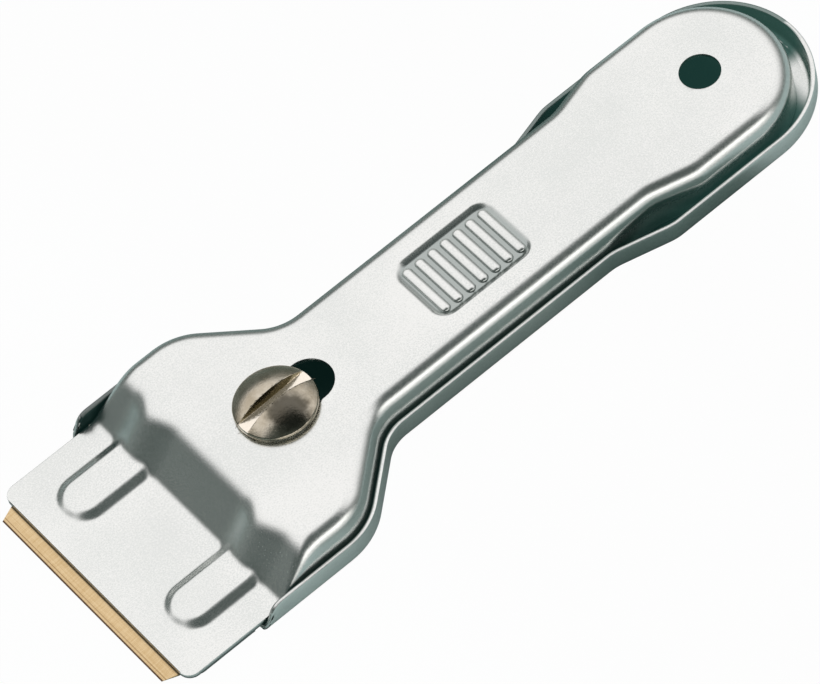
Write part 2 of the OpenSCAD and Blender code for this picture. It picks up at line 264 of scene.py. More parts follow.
# The round rear end: a run up to it, then a quarter turn to the tool's middle
def withEnd(start, steps, endX, endWidth):
    pose = start
    for step in steps:
        pose = along(pose, step)
    return steps + [[endX - endWidth / 2 - pose[0]], [endWidth / 2, -90]]


def coverPath(spacing):
    c = cover
    start = (lipX, c["head"] / 2 - c["lip_corner"], pi / 2)
    steps = [[c["lip_corner"], -90], [c["shoulder"] - c["lip_corner"]]]
    steps += halfOutline(0, c["grip_run"], c["end"])
    return walk(start, withEnd(start, steps, places["travel"] + c["rear"], c["end"]), spacing)


tray = {
    "sheet": 0.8,
    "fold": 1.8,
    "high": 4.5,
    "gap": 0.295,
    "end": 30.19,
    "rear": 22.57,
    "grip_run": 38.4,
    "tongue": 43.1,
    "tongue_corner": 2.5,
    "tongue_back": 0.7,
    "wall_start": 13.0,
    "wall_slope": 62.0,
    "wall_corner": 2.6,
    "notch": 0.8,
    "notch_in": 0.05,       # how far the notch's two corners lean
    "notch_out": 0.02,
    "pip_x": 12.0,
    "pip_r": 1.65,
    "pip_soft": 0.9,
    "pip_high": 0.9,
    "spigot": 7.0,
    "edge_round": 0.38,
}


# Tongue with round corners, then the notch, then the walled tray
def trayPath(spacing):
    c, t = cover, tray
    frontX, wallX, out = lipX + t["tongue_back"], lipX + t["wall_start"], t["gap"] + t["sheet"]
    start = (frontX, t["tongue"] / 2 - t["tongue_corner"], pi / 2)
    run = wallX - t["notch"] - frontX - t["tongue_corner"]
    poses = walk(start, [[t["tongue_corner"], -90], [run]], spacing)
    floorY = c["head"] / 2 + out - t["fold"]
    poses += [(wallX - t["notch"] + t["notch_in"], floorY, 0.0),
              (wallX - t["notch_out"], floorY, 0.0)]
    start = (wallX, c["head"] / 2 + out, 0.0)
    steps = [[lipX + c["shoulder"] - wallX]] + halfOutline(out, t["grip_run"], t["end"])
    return poses + walk(start, withEnd(start, steps, t["rear"], t["end"]), spacing)


# A pressed sheet as rows of points from the left free edge over the flat to the right one.
# Each edge's section is a fold of a radius and a wall, cut off at its height over the flat.
def sheetRows(poses, foldAt, flatAt, heightAt, side, acrossCount):
    rows, foldCount, wallCount = [], meshing["fold"], meshing["wall"]
    for x, y, heading in poses:
        radius, height = foldAt(x), heightAt(x)
        inX, inY = sin(heading), -cos(heading)
        last = acos(1 - min(height, radius) / radius) if radius > 0 else 0.0
        section = [(0.0, height + (radius - height) * i / wallCount) if height > radius else
                   (radius - radius * sin(last), min(height, radius)) for i in range(wallCount)]
        for i in range(foldCount + 1):
            a = last * (1 - i / foldCount)
            section.append((radius - radius * sin(a), radius - radius * cos(a)))
        half = []
        for inset, up in section:
            px, py = x + inX * inset, max(y + inY * inset, 0.0)
            half.append((px, py, flatAt(px, py) + side * up))
        px, py = half[-1][0], half[-1][1]
        middle = [(px, py * (1 - 2 * i / acrossCount)) for i in range(1, acrossCount)]
        row = half + [(mx, my, flatAt(mx, my)) for mx, my in middle]
        rows.append(row + [(hx, -hy, hz) for hx, hy, hz in reversed(half)])
    return rows


# One sheet from rows of its outer face: an inner face a sheet further in, and rims with soft edges
def sheetOfRows(name, rows, flip, thick, soft):
    count, weld, speck = len(rows[0]), 0.004 * mm, 0.002 * mm
    work = bmesh.new()
    corners = [work.verts.new(Vector(p) * mm) for row in rows for p in row]
    for r in range(len(rows) - 1):
        for i in range(count - 1):
            a, b = r * count + i, (r + 1) * count + i
            quad = [corners[k] for k in (a, a + 1, b + 1, b)]
            work.faces.new(quad[::-1] if flip else quad)
    bmesh.ops.remove_doubles(work, verts=work.verts, dist=weld)
    bmesh.ops.dissolve_degenerate(work, edges=work.edges, dist=speck)
    work.normal_update()
    outer = list(work.verts)
    faces = list(work.faces)
    # by area, so that a sliver can't turn a point's normal
    normals = {v: sum((f.normal * f.calc_area() for f in v.link_faces), Vector()).normalized()
               for v in outer}
    rims = []
    outward = {}
    for edge in work.edges:
        if edge.is_boundary:
            loop = edge.link_loops[0]
            a, b = loop.vert, loop.link_loop_next.vert
            out = (b.co - a.co).cross(normals[a] + normals[b])
            rims.append((a, b))
            for v in (a, b):
                outward[v] = outward.get(v, Vector()) + out
    inner = {v: work.verts.new(v.co - normals[v] * thick * mm) for v in outer}
    levels = []
    lean = soft * (1 - sin(pi / 4))
    for shift, deep in ((lean, lean), (0, soft), (0, thick - soft), (lean, thick - lean)):
        levels.append({v: work.verts.new(v.co - (t.normalized() * shift + normals[v] * deep) * mm)
                       for v, t in outward.items()})
    for v, t in outward.items():
        v.co -= t.normalized() * soft * mm
        inner[v].co -= t.normalized() * soft * mm
    for face in faces:
        work.faces.new([inner[v] for v in reversed(face.verts)])
    for a, b in rims:
        stack = [(a, b)] + [(level[a], level[b]) for level in levels] + [(inner[a], inner[b])]
        for (a0, b0), (a1, b1) in zip(stack, stack[1:]):
            work.faces.new((b0, a0, a1, b1))
    return newObject(name, work)


def newObject(name, work):
    mesh = bpy.data.meshes.new(name)
    work.to_mesh(mesh)
    work.free()
    obj = bpy.data.objects.new(name, mesh)
    bpy.context.scene.collection.objects.link(obj)
    return obj


# A closed body through rings of the same number of points, each ring at its own height
def lofted(name, rings):
    work = bmesh.new()
    loops = [[work.verts.new(Vector(p) * mm) for p in points] for points in rings]
    work.faces.new(loops[0][::-1])
    work.faces.new(loops[-1])
    for low, high in zip(loops, loops[1:]):
        for i in range(len(low)):
            j = (i + 1) % len(low)
            work.faces.new((low[i], low[j], high[j], high[i]))
    return newObject(name, work)


# A cutter through a sheet between two heights that leaves the hole's edges rounded
def punch(name, outline, low, high, soft=0.12, clear=2.0):
    lean = soft * (1 - sin(pi / 4))
    levels = ((low - clear, soft), (low, soft), (low + lean, lean), (low + soft, 0),
              (high - soft, 0), (high - lean, lean), (high, soft), (high + clear, soft))
    return lofted(name, [[(x, y, z) for x, y in outline(grow)] for z, grow in levels])


def ring(cx, cy, radius, start=0.0, stop=360.0, count=72):
    points = count if stop - start >= 360 else count + 1
    turns = [radians(start + (stop - start) * i / count) for i in range(points)]
    return [(cx + radius * cos(a), cy + radius * sin(a)) for a in turns]


def baked(obj, angle=32.0):   # the finished piece as a plain mesh, with its modifiers taken in
    bpy.context.view_layer.update()
    evaluated = obj.evaluated_get(bpy.context.evaluated_depsgraph_get())
    mesh = bpy.data.meshes.new_from_object(evaluated)
    obj.modifiers.clear()
    obj.data = mesh
    mesh.shade_smooth()
    mesh.set_sharp_from_angle(angle=radians(angle))
    return obj


def cut(obj, tools):
    for tool in tools:
        step = obj.modifiers.new("cut", "BOOLEAN")
        step.operation, step.solver, step.object = "DIFFERENCE", "EXACT", tool
    baked(obj)
    for tool in tools:
        bpy.data.objects.remove(tool)


def softEdges(obj, width, angle=40.0):
    bevel = obj.modifiers.new("edges", "BEVEL")
    bevel.width, bevel.segments, bevel.limit_method = width * mm, 2, "ANGLE"
    bevel.angle_limit = radians(angle)
    bevel.use_clamp_overlap = False
    baked(obj)


def assign(obj, body, node, mat):
    obj.data.materials.clear()
    obj.data.materials.append(mat)
    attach(obj, body)
    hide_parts(node)


def makeCover():
    c = cover

    def spacing(x):
        if x < lipX + c["level_from"] - 3:
            return meshing["head"]
        return meshing["grip"] if abs(x - gripX) < thumb["length"] / 2 + 0.6 else meshing["plain"]

    def flatAt(x, y):
        return float(coverHeight(np.array(x), np.array(y)))

    def edgeRise(x):
        high = flatAt(x, c["head"] / 2) if x < lipX + c["level_from"] else c["top"]
        return high - c["lip_top"]

    def foldAt(x):
        return min(c["fold"], max(0.0, c["fold_share"] * edgeRise(x)))

    def heightAt(x):
        rise = max(0.0, edgeRise(x))
        return rise + (c["lip_top"] - c["rim"]) * min(1.0, rise)

    rows = sheetRows(coverPath(spacing), foldAt, flatAt, heightAt, -1, meshing["cover_across"])
    obj = sheetOfRows("coverShell", rows, False, c["sheet"], c["edge_round"])
    slotX = screwX + places["travel"]

    def slotOutline(grow):
        r = c["slot"] / 2 + grow
        return ring(slotX, 0, r, -90, 90, 36) + ring(screwX, 0, r, 90, 270, 36)

    def holeOutline(grow):
        return ring(places["travel"], 0, c["hole"] / 2 + grow)

    low = c["top"] - c["sheet"]
    cut(obj, [punch("slotTool", slotOutline, low, c["top"]),
              punch("holeTool", holeOutline, low, c["top"])])
    markShade(obj, coverShade)
    assign(obj, "cover", "top_cover", zincMat)
    return obj


def makeTray():
    t = tray
    wallX = lipX + t["wall_start"]
    slope, corner = radians(t["wall_slope"]), t["wall_corner"]
    bendX = wallX + (corner + (t["high"] - corner) * cos(slope)) / sin(slope)
    pipX = edgeX + t["pip_x"]

    def spacing(x):
        if x < wallX - 1:
            return meshing["tongue"]
        return meshing["wall_start"] if x < bendX + 0.2 else meshing["plain"]

    def flatAt(x, y):
        reach = hypot(x - pipX, abs(y) - rib["y"])
        return t["pip_high"] * float(ease((t["pip_r"] - reach) / t["pip_soft"]))

    def foldAt(x):
        return 0.0 if x < wallX - 0.01 else t["fold"]

    def heightAt(x):
        if x < bendX - corner * sin(slope):
            return max(0.0, (x - wallX) * tan(slope))
        back = min(0.0, x - bendX)
        return t["high"] - corner + sqrt(corner ** 2 - back ** 2)

    rows = sheetRows(trayPath(spacing), foldAt, flatAt, heightAt, 1, meshing["tray_across"])
    obj = sheetOfRows("trayShell", rows, True, t["sheet"], t["edge_round"])
    for v in obj.data.vertices:   # the rounded rim stays over the floor where the wall starts
        v.co.z = max(v.co.z, 0.0)

    def hangOutline(grow):
        return ring(0, 0, cover["hole"] / 2 + grow)

    def spigotOutline(grow):
        return ring(screwX, 0, t["spigot"] / 2 + grow, count=96)

    cut(obj, [punch("hangTool", hangOutline, 0, t["sheet"]),
              punch("spigotTool", spigotOutline, 0, t["sheet"], 0.02)])
    markShade(obj, trayShade)
    assign(obj, "tray", "base_tray", zincMat)
    return obj


# Shares of painted shade from 0 to 1, and in millimetres where each begins and how far it takes to
# fade
shaded = {
    "patch": 0.9,               # share of the painted shade lifted from the floor behind the cover's right rear
    "patch_front": (14.0, 4.0),
    "patch_left": (-1.5, 3.0),
    "patch_right": (-13.0, 4.0),
    "floor_high": 1.2,
    "rim_deep": 0.4,
    "left_rim_shade": 0.75,
    "tongue_rim_shade": 0.6,
    "wall": 0.4,
    "wall_high": (5.8, 2.2),
    "wall_side": (0.5, 0.3),
    "wall_start": 2.0,
    "lip_foot": 0.9,
    "lip_deep": 0.3,
    "lip_end": 3.0,
}


# Marks how far a place lies in the shade between the sheets, which the plating's colour goes by
def markShade(obj, shadeAt):
    mesh = obj.data
    marks = mesh.attributes.new("inside", "FLOAT", "POINT")
    for v, mark in zip(mesh.vertices, marks.data):
        mark.value = shadeAt(*(v.co / mm), v.normal)


# Painted shade on the tray's inner faces, apart from the bright floor behind the cover's right rear,
# and painted shade on the rims of the tongue and of the left wall
def trayShade(x, y, z, normal):
    t = tray
    inward = Vector((min(t["rear"] - t["end"] / 2 - x, 0.0), -y, 0.0)).normalized()
    floor = normal.z > 0.6 and z < t["sheet"] + shaded["floor_high"]
    if x < lipX + t["wall_start"] - t["notch"] and abs(normal.z) < 0.5:
        return shaded["tongue_rim_shade"]
    if y > 0 and normal.z > 0.25 and z > t["high"] - shaded["rim_deep"]:
        return shaded["left_rim_shade"]
    if not (floor or normal.dot(inward) > 0.5) or not t["sheet"] - 0.1 < z < t["high"] - 0.05:
        return 0.0
    front, left, right = shaded["patch_front"], shaded["patch_left"], shaded["patch_right"]
    patch = ease((x - front[0]) / front[1]) * ease((left[0] - y) / left[1])
    return 1 - shaded["patch"] * float(patch * ease((y - right[0]) / right[1]))


# Painted shade on the lip's lower edge, the cover's inner faces, and its wall down between the tray's
# walls
def coverShade(x, y, z, normal):
    footX = lipX + cover["foot"]
    if x < footX - shaded["lip_end"]:
        return shaded["lip_foot"] if z < cover["rim"] + shaded["lip_deep"] else 0.0
    if normal.z < -0.3:
        return 1.0 if x > footX else 0.0
    sideways = max(abs(normal.y), normal.x)
    side, high = shaded["wall_side"], shaded["wall_high"]
    wall = ease((sideways - side[0]) / side[1]) * ease((high[0] - z) / high[1])
    return shaded["wall"] * float(wall * ease((x - footX) / shaded["wall_start"]))


# A new node tree with its inputs' identifiers by name, its builder, and its inputs as values
def growTree(name, kinds):
    group = bpy.data.node_groups.new(name, "GeometryNodeTree")
    inputs = {}
    for label, kind in kinds.items():
        socket = group.interface.new_socket(label, in_out="INPUT", socket_type="NodeSocket" + kind)
        inputs[label] = socket.identifier
    group.interface.new_socket("Geometry", in_out="OUTPUT", socket_type="NodeSocketGeometry")
    g = Tree(group)
    start = g.nodes.new("NodeGroupInput")
    return (group, inputs), g, [Sig(g, start.outputs[i]) for i in range(len(kinds))]


# The tree's end: real faces of one finish
def endTree(g, shape, finish):
    done = g.add("GeometryNodeSetMaterial", None, {"Geometry": shape, "Material": finish})
    g.links.new(done.socket, g.nodes.new("NodeGroupOutput").inputs[0])


# Equal bars in a row across the thumb grip
def barTree():
    kinds = {"Bars": "Int", "Pitch": "Float", "Width": "Float", "Length": "Float", "Height": "Float",
             "Finish": "Material"}
    tree, g, (bars, pitch, width, length, height, finish) = growTree("thumbBars", kinds)
    ball = g.add("GeometryNodeMeshUVSphere", None, {"Segments": 32, "Rings": 16, "Radius": 1.0})
    x, y, z = g.parts(g.add("GeometryNodeInputPosition"))   # of a ball drawn out to a bar
    end = g.add("ShaderNodeMath", {"operation": "SIGN"}, [y]) * ((length - width) / 2)
    spot = {0: x * width / 2, 1: y * width / 2 + end, 2: z * height}
    spot = g.add("ShaderNodeCombineXYZ", None, spot)
    bar = g.add("GeometryNodeSetPosition", None, {"Geometry": ball, "Position": spot})
    step = g.add("ShaderNodeCombineXYZ", None, {0: pitch, 1: 0.0, 2: 0.0})
    first = g.add("ShaderNodeCombineXYZ", None, {0: pitch * (1 - bars) / 2, 1: 0.0, 2: 0.0})
    row = {"Count": bars, "Start Location": first, "Offset": step}
    row = g.add("GeometryNodeMeshLine", None, row)
    rowOfBars = g.add("GeometryNodeInstanceOnPoints", None, {"Points": row, "Instance": bar})
    solid = g.add("GeometryNodeRealizeInstances", None, {"Geometry": rowOfBars})
    endTree(g, g.add("GeometryNodeSetShadeSmooth", None, {"Geometry": solid}), finish)
    return tree


# Helix along the screw's shank
def threadTree():
    kinds = {"Turns": "Float", "Radius": "Float", "Length": "Float", "Depth": "Float",
             "Finish": "Material"}
    tree, g, (turns, radius, length, depth, finish) = growTree("screwThread", kinds)
    helix = g.add("GeometryNodeCurveSpiral", None, {
        "Resolution": 48, "Rotations": turns, "Start Radius": radius, "End Radius": radius,
        "Height": length})
    crest = g.add("GeometryNodeCurvePrimitiveCircle", None, {"Resolution": 4, "Radius": depth})
    tube = g.add("GeometryNodeCurveToMesh", None,
                 {"Curve": helix, "Profile Curve": crest, "Fill Caps": True})
    endTree(g, g.add("GeometryNodeRealizeInstances", None, {"Geometry": tube}), finish)
    return tree


# A plain mesh from a node tree and the values of its named inputs, moved to its place in the part
def grown(name, tree, values, at):
    group, inputs = tree
    obj = bpy.data.objects.new(name, bpy.data.meshes.new(name))
    bpy.context.scene.collection.objects.link(obj)
    step = obj.modifiers.new("grow", "NODES")
    step.node_group = group
    for key, value in values.items():
        step[inputs[key]] = value
    baked(obj)
    obj.data.transform(Matrix.Translation(Vector(at) * mm))
    return obj


def makeBars():
    pitch = (thumb["length"] - thumb["bar"] - thumb["spare"]) / thumb["bars"]
    values = {
        "Bars": thumb["bars"],
        "Pitch": pitch * mm,
        "Width": thumb["bar"] * mm,
        "Length": (thumb["width"] - 2 * thumb["bar_end"]) * mm,
        "Height": thumb["bar_high"] * mm,
        "Finish": zincMat,
    }
    obj = grown("thumbBars", barTree(), values, (gripX, 0, cover["top"] - thumb["deep"]))
    assign(obj, "cover", "top_cover", zincMat)


# Screw: a turned blank with a coin slot, and its thread
screw = {
    "seat": 9.5,
    "head": 12.6,
    "rim": 0.5,
    "high": 2.6,
    "slot": 2.0,
    "slot_deep": 2.0,
    "slot_soft": 0.13,
    "turn": 2.0,
    "core": 2.1,
    "foot": 0.8,
    "foot_soft": 0.3,
    "pitch": 0.8,
    "thread": 0.4,
    "thread_ends": 0.7,
    # middle of the painted dark reflection on the head
    "dark_reflection": (screwX + 0.1, -3.5, 11.3),
    # the head's rim from its seat to the dome: in from the widest radius, and up
    "edge": [(0.14, 0.0), (0.04, 0.04), (0.0, 0.14), (0.0, 0.32), (0.03, 0.45), (0.11, 0.58)],
    "dome_inset": 0.24,
    "dome_rings": 14,
    "tip": 0.05,
}


def makeScrew():
    w = screw
    r, seat, top = w["head"] / 2, w["seat"], w["seat"] + w["high"]
    crown = w["high"] - w["rim"]
    domeR = (r * r + crown * crown) / (2 * crown)
    profile = [(w["core"] - w["foot_soft"], w["foot"]), (w["core"], w["foot"] + w["foot_soft"]),
               (w["core"], seat)]
    profile += [(r - inset, seat + up) for inset, up in w["edge"]]
    for i in range(w["dome_rings"]):
        reach = (r - w["dome_inset"]) * (1 - i / w["dome_rings"])
        profile.append((reach, top - domeR + sqrt(domeR ** 2 - reach ** 2)))
    profile.append((w["tip"], top))
    rings = [[(x, y, z) for x, y in ring(screwX, 0, radius, count=96)] for radius, z in profile]
    obj = lofted("screwBlank", rings)
    half, turn = w["slot"] / 2, radians(w["turn"])
    clear = 9   # the cutter reaches past the head
    outline = [(screwX + x * cos(turn) - y * sin(turn), x * sin(turn) + y * cos(turn))
               for x, y in ((-clear, -half), (clear, -half), (clear, half), (-clear, half))]
    levels = (top - w["slot_deep"], top + 2)
    cut(obj, [lofted("coinTool", [[(x, y, z) for x, y in outline] for z in levels])])
    softEdges(obj, w["slot_soft"])
    assign(obj, "screw", "clamp_screw", nickelMat)
    length = seat - w["foot"] - 2 * w["thread_ends"]
    values = {
        "Turns": length / w["pitch"],
        "Radius": w["core"] * mm,
        "Length": length * mm,
        "Depth": w["thread"] * mm,
        "Finish": nickelMat,
    }
    thread = grown("screwThread", threadTree(), values, (screwX, 0, w["foot"] + w["thread_ends"]))
    assign(thread, "screw", "clamp_screw", nickelMat)


# The CAD node, shaded smooth over its fine facets by modifiers alone
def smoothed(node, angle=30.0):
    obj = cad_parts[node]
    weld = obj.modifiers.new("weld", "WELD")
    weld.merge_threshold = 0.001 * mm
    work = bpy.data.node_groups.new("smoothShade_" + node, "GeometryNodeTree")
    work.interface.new_socket("Geometry", in_out="INPUT", socket_type="NodeSocketGeometry")
    work.interface.new_socket("Geometry", in_out="OUTPUT", socket_type="NodeSocketGeometry")
    start, end = work.nodes.new("NodeGroupInput"), work.nodes.new("NodeGroupOutput")
    turn = work.nodes.new("GeometryNodeInputMeshEdgeAngle")
    sharp = work.nodes.new("FunctionNodeCompare")
    sharp.operation = "LESS_EQUAL"
    sharp.inputs[1].default_value = radians(angle)
    faces = work.nodes.new("GeometryNodeSetShadeSmooth")
    edges = work.nodes.new("GeometryNodeSetShadeSmooth")
    edges.domain = "EDGE"
    work.links.new(start.outputs[0], faces.inputs["Geometry"])
    work.links.new(faces.outputs[0], edges.inputs["Geometry"])
    work.links.new(turn.outputs["Unsigned Angle"], sharp.inputs[0])
    work.links.new(sharp.outputs[0], edges.inputs["Shade Smooth"])
    work.links.new(edges.outputs[0], end.inputs[0])
    shade = obj.modifiers.new("shade", "NODES")
    shade.node_group = work
    even = obj.modifiers.new("normals", "WEIGHTED_NORMAL")
    even.keep_sharp = True
    even.weight = 100
    return obj


# Finishes. Pairs are ranges along x, y or z in metres, from where a thing begins to where it is whole
zinc = {
    "rough": 0.24,
    "rough_grain": 0.12,
    "rough_cloud": 0.06,
    "rough_inside": 0.2,
    "bump": 0.24,
    "bump_high": 0.00003,
    "grain": 4200.0,
    "cloud": 55.0,
    "pale": rgb(244, 245, 242),
    "grey": rgb(227, 230, 227),
    "grip_shade": rgb(150, 160, 157),       # painted shade between the grip's bars, less on their crests
    "grip_shade_share": 0.75,
    "grip_shade_x": (0.0103, 0.009),        # from the grip's middle
    "grip_shade_y": (0.0075, 0.0062),
    "grip_shade_low": (-0.0006, -0.0004),   # from the grip's floor
    "grip_shade_high": (0.00055, 0.00005),
    "inside_metal": 0.85,
    "inside_front": rgb(34, 54, 52),    # painted shade between the sheets, from blade's end to grip
    "inside_rear": rgb(64, 88, 84),
    "inside_turns": (-0.085, -0.07),
    "glow": (0.010, 0.034, 0.029, 1),   # painted light: a glow for light that finds its way in, least at the front
    "glow_least": 0.25,
    "glow_grows": (-0.02, -0.004),
    "glow_end": (0.020, 0.052, 0.043, 1),
    "glow_end_grows": (0.01, 0.016),
}


def zincPlate():
    mat = bpy.data.materials.new("zincPlate")
    t = Tree(mat)
    place = t.add("ShaderNodeTexCoord", None, None, out=3)
    x, y, z = t.parts(place)
    grain = t.noise(place, zinc["grain"], detail=3.0, rough=0.6)
    cloud = t.noise(place, zinc["cloud"], detail=3.0, rough=0.5)
    inside = t.add("ShaderNodeAttribute", {"attribute_name": "inside"}, None, out=2)
    rough = zinc["rough"] + (grain - 0.5) * zinc["rough_grain"] + (cloud - 0.5) * zinc["rough_cloud"]
    rough = rough + inside * zinc["rough_inside"]
    mottle = t.smooth(cloud * 0.35 + grain * 0.65, 0.38, 0.62)
    shade = t.mixColour(mottle, zinc["grey"], zinc["pale"])

    # Painted shade in the thumb grip's valleys between the bars
    gripFloor = (cover["top"] - thumb["deep"]) * mm
    high = z - gripFloor
    grip_shade = t.smooth(t.absolute(x - gripX * mm), *zinc["grip_shade_x"]) * zinc["grip_shade_share"]
    grip_shade = grip_shade * t.smooth(t.absolute(y), *zinc["grip_shade_y"])
    grip_shade = grip_shade * t.smooth(high, *zinc["grip_shade_low"]) * t.smooth(high, *zinc["grip_shade_high"])
    shade = t.mixColour(grip_shade, shade, zinc["grip_shade"])

    # Painted shade between the sheets, darker towards the front, where the metal is also a little
    # less metallic
    deep = t.mixColour(t.smooth(x, *zinc["inside_turns"]), zinc["inside_front"], zinc["inside_rear"])
    shade = t.mixColour(inside, shade, deep)
    # Painted light: an emitted glow in the painted shade, brighter towards the rear
    glow = t.mixColour(t.smooth(x, *zinc["glow_end_grows"]), zinc["glow"], zinc["glow_end"])
    least = zinc["glow_least"]
    rear = t.smooth(x, *zinc["glow_grows"]) * (1 - least) + least
    glow = t.mixColour(inside * rear, (0, 0, 0, 1), glow)
    bump = {"Strength": zinc["bump"], "Distance": zinc["bump_high"], "Height": grain}
    shader = t.add("ShaderNodeBsdfPrincipled", None, {
        "Base Color": shade, "Metallic": 1.0 - inside * (1 - zinc["inside_metal"]),
        "Roughness": rough, "Normal": t.add("ShaderNodeBump", None, bump),
        "Emission Color": glow, "Emission Strength": 1.0})
    t.add("ShaderNodeOutputMaterial", None, {0: shader})
    return mat


# The screw's: cloudy, with a painted dark reflection on its head, painted shade on its slot's sides
# and painted light on its slot's floor
nickel = {
    "rough": 0.18,
    "rough_cloud": 0.1,
    "rough_fine": 0.16,
    "bump": 0.35,
    "bump_high": 0.00008,
    "cloud": 350.0,
    "fine": 3200.0,
    "dark": rgb(182, 171, 150),
    "pale": rgb(212, 203, 186),
    "dark_reflection": rgb(62, 60, 52),
    "dark_reflection_share": 0.85,
    "dark_reflection_reach": (4.0, 2.0),        # in millimetres, as are the next three
    "dark_reflection_cloud": 3.0,
    "slot_edge": (0.07, 0.02),
    "slot_rise": (0.2, 0.05),
    # painted shade on the slot's sides and painted light on its floor
    "slot_shade": rgb(116, 112, 88),
    "slot_shade_share": 0.8,
    "slot_floor_light": rgb(252, 243, 228),
}


def nickelPlate():
    mat = bpy.data.materials.new("nickelPlate")
    t = Tree(mat)
    place = t.add("ShaderNodeTexCoord", None, None, out=3)
    x, y, z = t.parts(place)
    cloud = t.noise(place, nickel["cloud"], detail=4.0, rough=0.6)
    fine = t.noise(place, nickel["fine"], detail=3.0, rough=0.6)
    shade = t.mixColour(t.smooth(cloud, 0.3, 0.7), nickel["dark"], nickel["pale"])
    # Painted dark reflection on the head, round a point on it
    middle = Vector(screw["dark_reflection"]) * mm
    reach = t.add("ShaderNodeVectorMath", {"operation": "DISTANCE"}, {0: place, 1: middle}, out=1)
    reach = reach / mm + (cloud - 0.5) * nickel["dark_reflection_cloud"]
    dark_reflection = t.smooth(reach, *nickel["dark_reflection_reach"]) * nickel["dark_reflection_share"]
    shade = t.mixColour(dark_reflection, shade, nickel["dark_reflection"])

    # Painted shade on the slot's sides and painted light on its floor
    turn, half = radians(screw["turn"]), screw["slot"] / 2
    across = t.absolute(y * cos(turn) - (x - screwX * mm) * sin(turn))
    inSlot = t.smooth(across, *((half + out) * mm for out in nickel["slot_edge"]))
    slotFloor = screw["seat"] + screw["high"] - screw["slot_deep"]
    bottom = t.smooth(z, *((slotFloor + up) * mm for up in nickel["slot_rise"]))
    slotShade = inSlot * (1 - bottom) * nickel["slot_shade_share"]
    shade = t.mixColour(slotShade, shade, nickel["slot_shade"])
    shade = t.mixColour(inSlot * bottom, shade, nickel["slot_floor_light"])

    rough = nickel["rough"] + (cloud - 0.5) * nickel["rough_cloud"]
    rough = rough + (fine - 0.5) * nickel["rough_fine"]
    bump = {"Strength": nickel["bump"], "Distance": nickel["bump_high"]}
    bump["Height"] = cloud + fine * 0.6
    shader = t.add("ShaderNodeBsdfPrincipled", None, {
        "Base Color": shade, "Metallic": 1.0, "Roughness": rough,
        "Normal": t.add("ShaderNodeBump", None, bump)})
    t.add("ShaderNodeOutputMaterial", None, {0: shader})
    return mat


# The blade's lines: how far behind its edge, half the width, strength and colour
steel = {
    "bevel_line": (0.62, 0.09, 0.6, rgb(140, 108, 70)),
    "edge_line": (0.1, 0.2, 1.0, rgb(96, 76, 58)),
    # painted shadow under the lip's front edge
    "lip_shadow": (2.45, 0.22, 0.8, rgb(72, 64, 52)),
    "rough": 0.3,
    "rough_streak": 0.2,
    "bump": 0.2,
    "bump_high": 0.00002,
    "streak": (500.0, 5000.0, 500.0),   # scales along x, y and z of the two grinding patterns
    "ground": (6000.0, 90.0, 90.0),
    "dark": rgb(210, 180, 132),
    "pale": rgb(232, 206, 162),
    "plain": rgb(190, 190, 186),        # the blank under the cover
    "plain_from": (2.9, 3.1),
}


def bladeSteel():
    mat = bpy.data.materials.new("bladeSteel")
    t = Tree(mat)
    place = t.add("ShaderNodeTexCoord", None, None, out=3)
    x = t.parts(place)[0]
    streak = t.add("ShaderNodeMapping", None, {0: place, 3: steel["streak"]})
    streak = t.noise(streak, 1.0, detail=4.0, rough=0.65)
    ground = t.add("ShaderNodeMapping", None, {0: place, 3: steel["ground"]})
    ground = t.noise(ground, 1.0, detail=3.0, rough=0.6)
    pattern = t.smooth(streak * 0.6 + ground * 0.4, 0.35, 0.65)
    shade = t.mixColour(pattern, steel["dark"], steel["pale"])
    for line in ("bevel_line", "edge_line", "lip_shadow"):
        at, half, share, colour = steel[line]
        away = t.absolute(x - (edgeX + at) * mm)
        shade = t.mixColour(t.smooth(away, half * mm, half * 0.5 * mm) * share, shade, colour)
    plain = t.smooth(x, *((edgeX + at) * mm for at in steel["plain_from"]))
    shade = t.mixColour(plain, shade, steel["plain"])
    rough = steel["rough"] + (streak - 0.5) * steel["rough_streak"]
    bump = {"Strength": steel["bump"], "Distance": steel["bump_high"]}
    bump["Height"] = ground + streak * 0.5
    shader = t.add("ShaderNodeBsdfPrincipled", None, {
        "Base Color": shade, "Metallic": 1.0, "Roughness": rough,
        "Normal": t.add("ShaderNodeBump", None, bump)})
    t.add("ShaderNodeOutputMaterial", None, {0: shader})
    return mat


def paint(obj, mat):
    if obj.material_slots:
        for slot in obj.material_slots:
            slot.material = mat
    else:
        obj.data.materials.append(mat)


zincMat, nickelMat, bladeMat = zincPlate(), nickelPlate(), bladeSteel()
for node in ("clamp_nut", "clamp_washer"):
    paint(smoothed(node), zincMat)
paint(smoothed("blade", 2.0), bladeMat)
print("finishes set")

coverShell = makeCover()
print("cover made:", len(coverShell.data.polygons), "faces")
trayShell = makeTray()
print("tray made:", len(trayShell.data.polygons), "faces")
makeBars()
makeScrew()
print("bars and screw made")


# Studio: a white room for the camera, soft boxes and dark sides for the metal. Each box is given by
# ranges of a reflection's direction, from where the box begins to where it is whole.
studio = {
    "dark": (0.062, 0.079, 0.075, 1),
    "side": (0.168, 0.192, 0.183, 1),
    "side_z": (0.5, 0.0),
    "box": (1.01, 0.995, 1.0, 1),
    "box_x": (-0.85, -0.6),
    "box_y": (-0.26, 0.08),
    "box_z": (0.28, 0.5),
    "rear_x": (0.28, 0.58),     # towards the rear end the box is wider and fades more slowly
    "rear_wider": 0.4,
    "rear_z": (-0.2, 0.22),
    "front": (1.6, 1.58, 1.55, 1),
    "front_y": (-0.62, -0.78),
    "front_z": (-0.1, 0.05),
    "front_top": (0.62, 0.5),
    "low": (0.62, 0.63, 0.62, 1),
    "low_z": (0.1, 0.45),
}


